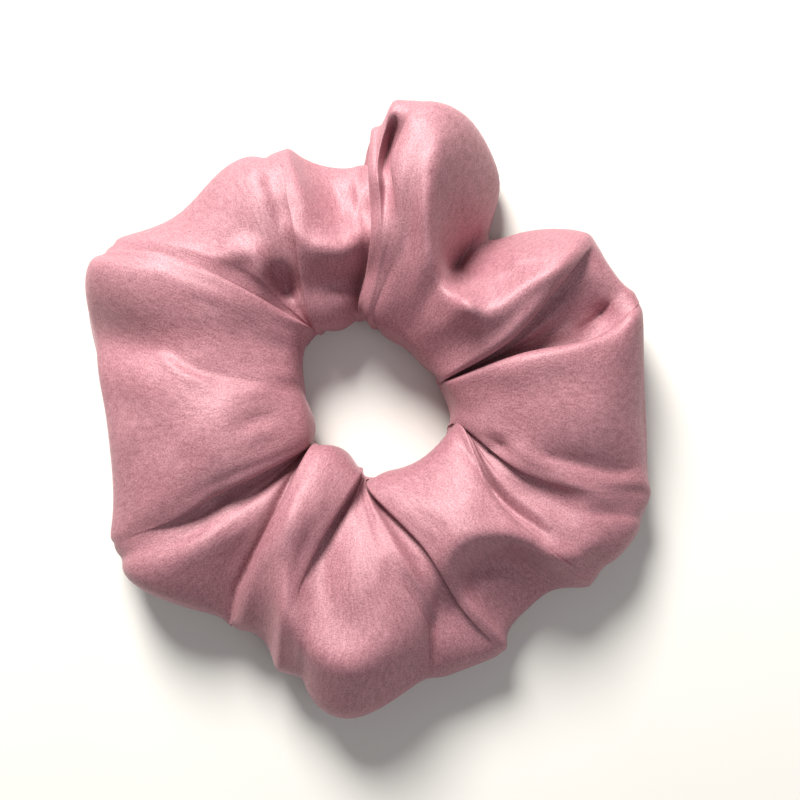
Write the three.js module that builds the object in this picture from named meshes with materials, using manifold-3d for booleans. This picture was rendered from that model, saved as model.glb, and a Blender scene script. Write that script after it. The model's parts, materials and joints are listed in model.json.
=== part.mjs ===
// A hair scrunchie: a satin tube, gathered onto a loop of flat elastic and closed by one cross seam.
// Millimetres, +Z up. It lies relaxed on a table, and its hole's axis is vertical.
//
// The tube, the elastic and the thread of the tube's long seam are each one continuous piece on the
// real thing. Here each is cut into the same stretches: one for each gather, with the gather at the
// closing seam cut in two at that seam. A stretch of each rides on one body, and the bodies slide
// apart along the ring's tangents, so the hole opens evenly as the elastic stretches.

import * as THREE from "three";
import { mergeVertices } from "three/addons/utils/BufferGeometryUtils.js";
import Module from "manifold-3d";

const wasm = await Module();
wasm.setup();

// ---- Driving dimensions ----

const HOLE_RADIUS = 15.5; // relaxed
// How far each gather reaches from the hole's axis, anticlockwise from the one on the closing seam.
const GATHER_REACHES = [56, 57, 53, 60.5, 57.5, 63, 60, 61, 56, 64.5, 55, 59];
const GATHER_HEIGHTS = [23, 24, 22, 27, 23, 25, 24, 23, 23, 25, 22, 24];
const NOTCH_DEPTH = 3.5; // how much less the cloth reaches between two gathers
const NOTCH_DROP = 4; // how much lower the cloth is between two gathers
const WAIST_SHARE = 0.4; // height of the tube's widest line, as a share of its height
const FOOT_SINK = 2; // how far the rounded underside would go below the table, so it lies flat there
const ROUNDNESS = 2.3; // power of the superellipse that is the tube's section

const ELASTIC_INSET = 6; // from the hole's edge to the middle of the band
const ELASTIC_RADIUS = HOLE_RADIUS + ELASTIC_INSET;
const ELASTIC_WIDTH = 6;
const ELASTIC_THICKNESS = 1.2;
const ELASTIC_LEVEL = 9; // height of the band's middle above the table
const LAP_CLEARANCE = 0.4; // between the two lapped ends of the elastic
const LAP_SHIFT = (ELASTIC_THICKNESS + LAP_CLEARANCE) / 2; // how far each end steps aside
const LAP_HALF_ANGLE = 8; // each end of the elastic goes this far past the closing seam, in degrees

const TUNNEL_CLEARANCE_SIDE = 0.4; // beside the lapped elastic and its stitching
const TUNNEL_CLEARANCE_EDGE = 1.3; // above and below the elastic
const TUNNEL_ROUNDNESS = 4; // power of its superellipse, nearly a rectangle

const SEAM_THREAD_RADIUS = 0.3; // the two seams of the tube
const LONG_SEAM_OFFSET = 5.5; // from the elastic to the long seam, which runs round the underside
const LONG_SEAM_RADIUS = ELASTIC_RADIUS + LONG_SEAM_OFFSET;
const LONG_SEAM_LEVEL = 1.6;
const CLOSING_SEAM_ANGLE = 2.2; // from the cut end of the tube to its row of stitches, in degrees
const JOIN_THREAD_RADIUS = 0.25; // the zigzag that holds the lapped elastic
const JOIN_ZIGZAGS = 4;
const JOIN_MARGIN = 0.9; // from the zigzag to the elastic's edges

const GAP = 0.3; // between two stretches of the ring, relaxed
const THREAD_CLEARANCE = 0.35;

const ANGLE_STEP = 7.5; // between two sections of the tube, in degrees
const SECTION_POINTS = 24;
const THREAD_SIDES = 6;

const GATHERS = GATHER_REACHES.length;
const PITCH = 360 / GATHERS;

// ---- Materials ----

const satin = new THREE.MeshStandardMaterial({ color: 0xc98492, roughness: 0.42, metalness: 0 });
const braidedElastic = new THREE.MeshStandardMaterial({ color: 0xf1ede6, roughness: 0.85, metalness: 0 });
const sewingThread = new THREE.MeshStandardMaterial({ color: 0xb9707f, roughness: 0.6, metalness: 0 });

// ---- Shape helpers ----

const radians = THREE.MathUtils.degToRad;

/** A point from its angle round the hole's axis, its distance from it, its height, and how far it is
 *  pushed along the tangent. */
function ringPoint(angle, radius, height, along = 0) {
  const c = Math.cos(radians(angle));
  const s = Math.sin(radians(angle));
  return [radius * c - along * s, radius * s + along * c, height];
}

/** A closed solid through a row of sections. Each section is a loop of [x, y, z] points, all with the
 *  same count, in the same order, anticlockwise as seen from the end that the row runs towards. */
function loft(sections) {
  const count = sections[0].length;
  const positions = sections.flat(2);
  const index = [];
  for (let row = 0; row < sections.length - 1; row++) {
    for (let i = 0; i < count; i++) {
      const a = row * count + i;
      const b = row * count + ((i + 1) % count);
      index.push(a, b, b + count, a, b + count, a + count);
    }
  }
  const last = (sections.length - 1) * count;
  for (let i = 1; i < count - 1; i++) {
    index.push(0, i + 1, i);
    index.push(last, last + i, last + i + 1);
  }
  const geometry = new THREE.BufferGeometry();
  geometry.setAttribute("position", new THREE.Float32BufferAttribute(positions, 3));
  geometry.setIndex(index);
  return geometry;
}

function toSolid(geometry) {
  const bare = new THREE.BufferGeometry();
  bare.setAttribute("position", geometry.getAttribute("position"));
  bare.setIndex(geometry.index);
  const merged = mergeVertices(bare, 1e-4);
  return new wasm.Manifold(
    new wasm.Mesh({
      numProp: 3,
      vertProperties: new Float32Array(merged.getAttribute("position").array),
      triVerts: new Uint32Array(merged.index.array),
    }),
  );
}

function toGeometry(solid) {
  const mesh = solid.getMesh();
  const geometry = new THREE.BufferGeometry();
  geometry.setAttribute("position", new THREE.BufferAttribute(mesh.vertProperties, 3));
  geometry.setIndex(new THREE.BufferAttribute(mesh.triVerts, 1));
  geometry.computeVertexNormals();
  return geometry;
}

/** Angles from one to the other, at most ANGLE_STEP apart. */
function anglesBetween(from, to) {
  const steps = Math.ceil((to - from) / ANGLE_STEP - 1e-9);
  return Array.from({ length: steps + 1 }, (_, i) => from + ((to - from) * i) / steps);
}

/** A loft round the ring from one angle to another. sectionAt(angle) gives [radius, height] points,
 *  and trim moves both ends inwards, in mm. */
function sweep(from, to, sectionAt, trim = 0) {
  const angles = anglesBetween(from, to);
  return loft(
    angles.map((angle, i) => {
      const along = i === 0 ? trim : i === angles.length - 1 ? -trim : 0;
      return sectionAt(angle).map(([radius, height]) => ringPoint(angle, radius, height, along));
    }),
  );
}

/** Angles of a section's points. They run so that the section is anticlockwise seen against the sweep. */
const turns = (count) => Array.from({ length: count }, (_, i) => (-2 * Math.PI * (i + 0.5)) / count);

/** The power that turns a circle's x or y into a superellipse's. */
const squared = (x, power) => Math.sign(x) * Math.abs(x) ** (2 / power);

/** A section that is a circle, an oval, or with a power over 2 a rounder or squarer superellipse. */
function oval(radius, height, halfDepth, halfHeight, count, power = 2) {
  return turns(count).map((t) => [
    radius + halfDepth * squared(Math.cos(t), power),
    height + halfHeight * squared(Math.sin(t), power),
  ]);
}

/** A rectangular section. */
function bandSection(radius) {
  const r = ELASTIC_THICKNESS / 2;
  const h = ELASTIC_WIDTH / 2;
  return [
    [radius - r, ELASTIC_LEVEL - h],
    [radius - r, ELASTIC_LEVEL + h],
    [radius + r, ELASTIC_LEVEL + h],
    [radius + r, ELASTIC_LEVEL - h],
  ];
}

// ---- The gathered tube ----

/** A gather's own value at its middle, blended towards the value between it and its neighbour. */
function gathered(values, drop, angle) {
  const turn = ((angle / PITCH) % GATHERS + GATHERS) % GATHERS;
  const nearest = Math.round(turn) % GATHERS;
  const offset = turn - Math.round(turn); // -0.5 to 0.5 across the gather
  const neighbour = (nearest + (offset < 0 ? GATHERS - 1 : 1)) % GATHERS;
  const between = (values[nearest] + values[neighbour]) / 2 - drop;
  return values[nearest] + (between - values[nearest]) * (2 * offset) ** 2;
}

/** The tube's outline at an angle, as [radius, height] points, moved inwards by inset. */
function tubeSection(angle, inset = 0) {
  const outer = gathered(GATHER_REACHES, NOTCH_DEPTH, angle) - inset;
  const inner = HOLE_RADIUS + inset;
  const top = gathered(GATHER_HEIGHTS, NOTCH_DROP, angle) - inset;
  const waist = top * WAIST_SHARE;
  const middle = (inner + outer) / 2;
  const half = (outer - inner) / 2;
  return turns(SECTION_POINTS).map((t) => {
    const rise = Math.sin(t) > 0 ? top - waist : waist + FOOT_SINK;
    const height = Math.max(inset, waist + rise * squared(Math.sin(t), ROUNDNESS));
    return [middle + half * squared(Math.cos(t), ROUNDNESS), height];
  });
}

/** The way through for the elastic, wide enough for its lap with the zigzag on it. */
function tunnelSection() {
  const stitching = THREAD_CLEARANCE + 2 * JOIN_THREAD_RADIUS;
  const halfDepth = LAP_SHIFT + ELASTIC_THICKNESS / 2 + stitching + TUNNEL_CLEARANCE_SIDE;
  const halfHeight = ELASTIC_WIDTH / 2 + TUNNEL_CLEARANCE_EDGE;
  const count = SECTION_POINTS / 2;
  return oval(ELASTIC_RADIUS, ELASTIC_LEVEL, halfDepth, halfHeight, count, TUNNEL_ROUNDNESS);
}

/** The way through for the long seam's thread. */
function threadHoleSection() {
  const r = SEAM_THREAD_RADIUS + THREAD_CLEARANCE;
  return oval(LONG_SEAM_RADIUS, LONG_SEAM_LEVEL, r, r, THREAD_SIDES);
}

/** The satin between two angles, with the way through it for the elastic and the long seam's thread. */
function coverStretch(from, to) {
  const beyond = -2; // a negative trim makes a cutter longer than what it cuts
  const tube = toSolid(sweep(from, to, tubeSection, GAP / 2));
  const tunnel = toSolid(sweep(from, to, tunnelSection, beyond));
  const threadHole = toSolid(sweep(from, to, threadHoleSection, beyond));
  return tube.subtract(tunnel).subtract(threadHole);
}

// ---- The closing seam ----

const grooveDepth = 2 * (SEAM_THREAD_RADIUS + THREAD_CLEARANCE) + 0.6;
const stitchInset = SEAM_THREAD_RADIUS + THREAD_CLEARANCE;

/** A slab that is one section of the tube, thick along the tangent. */
function sectionSlab(angle, inset, thickness) {
  const section = tubeSection(angle, inset);
  const side = (along) => section.map(([radius, height]) => ringPoint(angle, radius, height, along));
  return toSolid(loft([side(-thickness / 2), side(thickness / 2)]));
}

/** The pulled-in line that the row of stitches makes round the tube. */
function closingSeamGroove() {
  const outer = sectionSlab(CLOSING_SEAM_ANGLE, -1, grooveDepth);
  const core = sectionSlab(CLOSING_SEAM_ANGLE, grooveDepth, 2 * grooveDepth);
  return outer.subtract(core);
}

/** The thread round the tube beside its cut end. */
function closingSeamThread() {
  const line = tubeSection(CLOSING_SEAM_ANGLE, stitchInset).map(
    ([radius, height]) => new THREE.Vector3(...ringPoint(CLOSING_SEAM_ANGLE, radius, height)),
  );
  const path = new THREE.CatmullRomCurve3(line, true);
  return threadAlong(path, 2 * SECTION_POINTS, SEAM_THREAD_RADIUS);
}

/** A thin round thread along a curve. */
function threadAlong(path, steps, radius) {
  const outline = turns(THREAD_SIDES).map(
    (t) => new THREE.Vector2(radius * Math.cos(t), radius * Math.sin(t)),
  );
  const geometry = new THREE.ExtrudeGeometry(new THREE.Shape(outline), { steps, extrudePath: path });
  geometry.deleteAttribute("normal");
  geometry.deleteAttribute("uv");
  return mergeVertices(geometry, 1e-4);
}

// ---- The elastic ----

/** The middle of one end of the elastic, which steps aside before the closing seam.
 *  past is the angle from where that end's stretch starts towards the seam, and side is 1 or -1. */
function lappedRadius(past, side) {
  const stepAngle = PITCH / 2 - LAP_HALF_ANGLE - 1;
  return ELASTIC_RADIUS + side * LAP_SHIFT * THREE.MathUtils.smoothstep(past, 0, stepAngle);
}

/** The zigzag's outline laid flat: x runs along the elastic, and y is up. */
function zigzagShape(reach, swing) {
  const steps = 2 * JOIN_ZIGZAGS;
  const stride = (2 * reach) / steps;
  const slope = (2 * swing) / stride;
  const halfHeight = JOIN_THREAD_RADIUS * Math.hypot(1, slope);
  const halfFlat = (halfHeight - JOIN_THREAD_RADIUS) / slope;
  const edge = (side) => {
    const points = [];
    for (let i = 0; i <= steps; i++) {
      const x = -reach + i * stride;
      const y = i % 2 ? swing : -swing;
      if (Math.sign(y) === side) {
        points.push(new THREE.Vector2(Math.max(x - halfFlat, -reach), y + side * JOIN_THREAD_RADIUS));
        points.push(new THREE.Vector2(Math.min(x + halfFlat, reach), y + side * JOIN_THREAD_RADIUS));
      } else {
        points.push(new THREE.Vector2(x, y + side * halfHeight));
      }
    }
    return points;
  };
  return new THREE.Shape([...edge(-1), ...edge(1).reverse()]);
}

/** The zigzag on the outside of the lap. */
function elasticJoinThread() {
  const radius = ELASTIC_RADIUS + LAP_SHIFT + ELASTIC_THICKNESS / 2 + THREAD_CLEARANCE;
  const reach = radians(LAP_HALF_ANGLE - 1) * radius;
  const swing = ELASTIC_WIDTH / 2 - JOIN_MARGIN;
  const options = { depth: 2 * JOIN_THREAD_RADIUS, bevelEnabled: false };
  const geometry = new THREE.ExtrudeGeometry(zigzagShape(reach, swing), options);
  geometry.deleteAttribute("normal");
  geometry.deleteAttribute("uv");
  const position = geometry.getAttribute("position");
  for (let i = 0; i < position.count; i++) {
    const angle = THREE.MathUtils.radToDeg(position.getX(i) / radius);
    const point = ringPoint(angle, radius + position.getZ(i), ELASTIC_LEVEL + position.getY(i));
    position.setXYZ(i, ...point);
  }
  return mergeVertices(geometry, 1e-4);
}

// ---- Assembly ----

const scrunchie = new THREE.Group();

function addPiece(name, geometry, material) {
  const mesh = new THREE.Mesh(geometry, material);
  mesh.name = name;
  scrunchie.add(mesh);
}

const threadSection = () =>
  oval(LONG_SEAM_RADIUS, LONG_SEAM_LEVEL, SEAM_THREAD_RADIUS, SEAM_THREAD_RADIUS, THREAD_SIDES);

// Stretch 0 starts at the closing seam, 1 to 11 are whole gathers, and the last ends at the seam.
for (let i = 0; i <= GATHERS; i++) {
  const from = Math.max(0, PITCH * (i - 0.5));
  const to = Math.min(360, PITCH * (i + 0.5));
  const number = String(i).padStart(2, "0");

  let cover = coverStretch(from, to);
  if (i === 0) cover = cover.subtract(closingSeamGroove());

  let tunnelEnds = [from, to];
  let bandAt = () => bandSection(ELASTIC_RADIUS);
  let trims = GAP / 2;
  if (i === 0) {
    tunnelEnds = [-LAP_HALF_ANGLE, to];
    bandAt = (angle) => bandSection(lappedRadius(to - angle, 1));
  }
  if (i === GATHERS) {
    tunnelEnds = [from, 360 + LAP_HALF_ANGLE];
    bandAt = (angle) => bandSection(lappedRadius(angle - from, -1));
  }

  addPiece("cover_" + number, toGeometry(cover), satin);
  addPiece("elastic_" + number, sweep(...tunnelEnds, bandAt, trims), braidedElastic);
  addPiece("long_seam_thread_" + number, sweep(from, to, threadSection, GAP / 2), sewingThread);
}
addPiece("closing_seam_thread", closingSeamThread(), sewingThread);
addPiece("elastic_join_thread", elasticJoinThread(), sewingThread);

// The origin is under the middle of the bounding box, at the table.
const box = new THREE.Box3().setFromObject(scrunchie);
const middle = box.getCenter(new THREE.Vector3());
scrunchie.children.forEach((mesh) => mesh.position.set(-middle.x, -middle.y, -box.min.z));

export default scrunchie;
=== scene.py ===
"""A dusty rose satin scrunchie lying relaxed on a pale table."""

import json
import math

import bmesh
import bpy
import numpy as np
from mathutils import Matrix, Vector


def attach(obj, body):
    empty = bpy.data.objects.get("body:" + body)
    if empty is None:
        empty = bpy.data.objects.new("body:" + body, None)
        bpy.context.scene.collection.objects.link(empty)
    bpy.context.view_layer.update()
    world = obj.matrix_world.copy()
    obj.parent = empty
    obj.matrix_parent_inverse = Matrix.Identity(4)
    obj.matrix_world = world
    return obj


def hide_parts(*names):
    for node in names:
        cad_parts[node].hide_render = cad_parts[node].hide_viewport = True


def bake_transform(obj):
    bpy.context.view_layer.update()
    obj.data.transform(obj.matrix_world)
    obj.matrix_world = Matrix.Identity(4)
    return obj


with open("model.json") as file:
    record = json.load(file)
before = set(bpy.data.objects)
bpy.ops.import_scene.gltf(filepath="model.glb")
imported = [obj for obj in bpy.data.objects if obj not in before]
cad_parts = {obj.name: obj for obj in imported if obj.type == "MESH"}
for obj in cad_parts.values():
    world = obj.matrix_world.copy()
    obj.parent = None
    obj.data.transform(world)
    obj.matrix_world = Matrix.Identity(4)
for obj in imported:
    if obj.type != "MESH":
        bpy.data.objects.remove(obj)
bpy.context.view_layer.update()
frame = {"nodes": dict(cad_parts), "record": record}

# ---- The table, the light and the camera ----
# A table top of board, painted white by roller. The light is a big soft window beyond the +Y
# side, with a weak fill from the near side. The camera looks almost straight down.

HOLE_BOX = frame["record"]["physics"]["openings"][0]["box_m"]
HOLE_X = (HOLE_BOX[0][0] + HOLE_BOX[1][0]) / 2
HOLE_Y = (HOLE_BOX[0][1] + HOLE_BOX[1][1]) / 2

TABLE_HALF_WIDTH = 1.5
TABLE_LEVEL = -0.0002  # a little under the satin, so that the two don't share a plane
PAINT_CLOUDS_PER_METRE = 14.0
LIT_POINT = (HOLE_X, HOLE_Y, 0.01)
CAMERA_DISTANCE = 0.224
CAMERA_TILT = math.radians(3)
CAMERA_ANGLE = math.radians(40)
CAMERA_AIM = Vector((HOLE_X + 0.0047, HOLE_Y + 0.0004, 0.010))


def linear(hex_colour):
    """A colour written as sRGB hex, as the linear RGBA that shaders take."""
    channels = [int(hex_colour[i : i + 2], 16) / 255 for i in (1, 3, 5)]
    return [c / 12.92 if c <= 0.04045 else ((c + 0.055) / 1.055) ** 2.4 for c in channels] + [1.0]


def new_material(name):
    """An empty node material with its Principled shader, and a function that adds nodes to it."""
    material = bpy.data.materials.new(name)
    material.use_nodes = True
    tree = material.node_tree
    tree.nodes.clear()

    def add(kind, links=None, **values):
        node = tree.nodes.new("ShaderNode" + kind)
        for key, value in values.items():
            if key in node.inputs:
                node.inputs[key].default_value = value
            elif key.replace("_", " ").title() in node.inputs:
                node.inputs[key.replace("_", " ").title()].default_value = value
            else:
                setattr(node, key, value)
        for key, source in (links or {}).items():
            tree.links.new(source, node.inputs[key])
        return node

    shader = add("BsdfPrincipled")
    add("OutputMaterial", {"Surface": shader.outputs["BSDF"]})
    return material, shader, add, tree.links


def make_table():
    # Matt emulsion paint: no gloss, and shades that differ so little that they only keep the
    # surface from looking empty.
    material, shader, add, links = new_material("matt_white_paint")
    coordinates = add("TexCoord")
    place = {"Vector": coordinates.outputs["Object"]}
    mottle = add("TexNoise", place, scale=PAINT_CLOUDS_PER_METRE, detail=3.0)
    tint = add("Mix", {"Factor": mottle.outputs["Fac"]}, data_type="RGBA")
    tint.inputs["A"].default_value = linear("#d6d4cf")
    tint.inputs["B"].default_value = linear("#e0deda")
    links.new(tint.outputs["Result"], shader.inputs["Base Color"])
    shader.inputs["Roughness"].default_value = 0.75
    mesh = bpy.data.meshes.new("table_top")
    turns = [(-1, -1), (1, -1), (1, 1), (-1, 1)]
    corners = [(TABLE_HALF_WIDTH * x, TABLE_HALF_WIDTH * y, TABLE_LEVEL) for x, y in turns]
    mesh.from_pydata(corners, [], [(0, 1, 2, 3)])
    table = bpy.data.objects.new("table_top", mesh)
    bpy.context.collection.objects.link(table)
    table.data.materials.append(material)


def add_area_light(name, place, size, watts, colour):
    light = bpy.data.lights.new(name, "AREA")
    light.shape = "DISK"
    light.size = size
    light.energy = watts
    light.color = linear(colour)[:3]
    lamp = bpy.data.objects.new(name, light)
    bpy.context.collection.objects.link(lamp)
    lamp.location = place
    lamp.rotation_euler = (Vector(LIT_POINT) - Vector(place)).to_track_quat("-Z", "Y").to_euler()


def add_camera():
    camera_data = bpy.data.cameras.new("camera")
    camera_data.angle = CAMERA_ANGLE
    camera_data.clip_start = 0.01
    camera = bpy.data.objects.new("camera", camera_data)
    bpy.context.collection.objects.link(camera)
    away = Vector((0, -math.sin(CAMERA_TILT), math.cos(CAMERA_TILT)))
    camera.location = CAMERA_AIM + CAMERA_DISTANCE * away
    camera.rotation_euler = (CAMERA_TILT, 0, 0)
    bpy.context.scene.camera = camera


make_table()
add_area_light("window", place=(-0.14, 0.46, 0.40), size=0.26, watts=8.8, colour="#fffdf8")
add_area_light("fill", place=(0.30, -0.30, 0.60), size=0.60, watts=1.0, colour="#f4f7ff")
world = bpy.data.worlds.new("room")
world.use_nodes = True
background = world.node_tree.nodes["Background"]
background.inputs["Color"].default_value = linear("#f6f4f2")
background.inputs["Strength"].default_value = 0.27
bpy.context.scene.world = world
bpy.context.scene.view_settings.view_transform = "Standard"
add_camera()

# ---- The satin tube ----
# One strip of polyester satin, sewn into a tube along its length, turned right side out and
# gathered on the elastic. The gathers are lobes that lie over and under one another, and each
# fold between two lobes runs out from the hole.

# The cloth's shape is drawn with columns. Each is one line across the tube, from the hole over the
# top to the outer edge. Lengths are in mm and angles in degrees round the hole's axis.
TOP_SHARES = (0.06, 0.36, 0.68, 0.93)  # where a column's angles and heights hold, hole to edge
FOLD_SPREAD = (0.3, 0.85, 1.0, 1.0)  # how wide a fold's turn is at each of them
CLOSED_TUCK = 1.5  # a fold that goes back less than this has partly opened
OPEN_WIDTH = 4.8  # how wide the slope is where a fold has opened
STEP_START = 0.2  # the outline steps from one lobe to the next within this part of the turn
STEP_LENGTH = 0.4
# A fold's turn, from the upper lobe round the edge and back under it, then out over the lower lobe:
# how far beyond the fold's line, how much of the tuck back, the rise, and how much of the drop.
FOLD_TURN = (
    (-3.2, 0, 0.3, 0),
    (-1.2, 0, 0, 0),
    (0.1, 0, 0, 0.25),
    (-0.8, 0, 0, 0.45),
    (-0.6, 0.6, 0, 0.5),
    (-0.8, 1, 0, 0.62),
    (-0.2, 0.5, 0, 0.88),
    (1.0, 0, 0, 1),
    (3.4, 0, 0, 0.9),
)


def smooth_step(part):
    """0 up to 0 and 1 from 1 on, with a smooth rise between."""
    part = np.clip(part, 0, 1)
    return part * part * (3 - 2 * part)


def column(angles, heights, rim, reach, fixed=False):
    """One line across the tube: its angles and heights at TOP_SHARES, and how far from the hole's
    axis it starts and ends. A fixed one is part of a fold's turn."""
    angles, heights = np.array(angles, float), np.array(heights, float)
    return {"angles": angles, "heights": heights, "rim": rim, "reach": reach, "fixed": fixed}


def fold(line, top, under, tuck, over, rim, reach):
    """The columns where one lobe lies over the next. line is where the edge runs, top and under are
    the two lobes' heights there, and tuck is how far the cloth goes back. over is 1 where the lobe
    on the smaller angle's side is the upper one, and -1 where it is the lower one. reach may be a
    pair, before and after the fold."""
    line, top, under, tuck = (np.array(v, float) for v in (line, top, under, tuck))
    gap = top - under
    closed = np.clip(tuck / CLOSED_TUCK, 0, 1)
    before, after = reach if isinstance(reach, tuple) else (reach, reach)
    upper, lower = (before, after) if over > 0 else (after, before)
    parts = np.linspace(0, 1, len(FOLD_TURN))
    stepped = smooth_step((parts - STEP_START) / STEP_LENGTH)
    reaches = (upper + lower) / 2 + closed[-1] * (upper - lower) * (0.5 - stepped)
    radii = rim + (reaches.mean() - rim) * np.array(TOP_SHARES)
    made = []
    for part, reach_here, (beyond, back, rise, down) in zip(parts, reaches, FOLD_TURN):
        offset = closed * (beyond - back * tuck) + (1 - closed) * (OPEN_WIDTH * (part - 0.5))
        drop = closed * (rise - down * gap) + (1 - closed) * -gap * part
        angles = line + over * np.degrees(offset * np.array(FOLD_SPREAD) / radii)
        made.append(column(angles, top + drop, rim, reach_here, fixed=0 < part < 1))
    return made if over > 0 else made[::-1]


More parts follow.
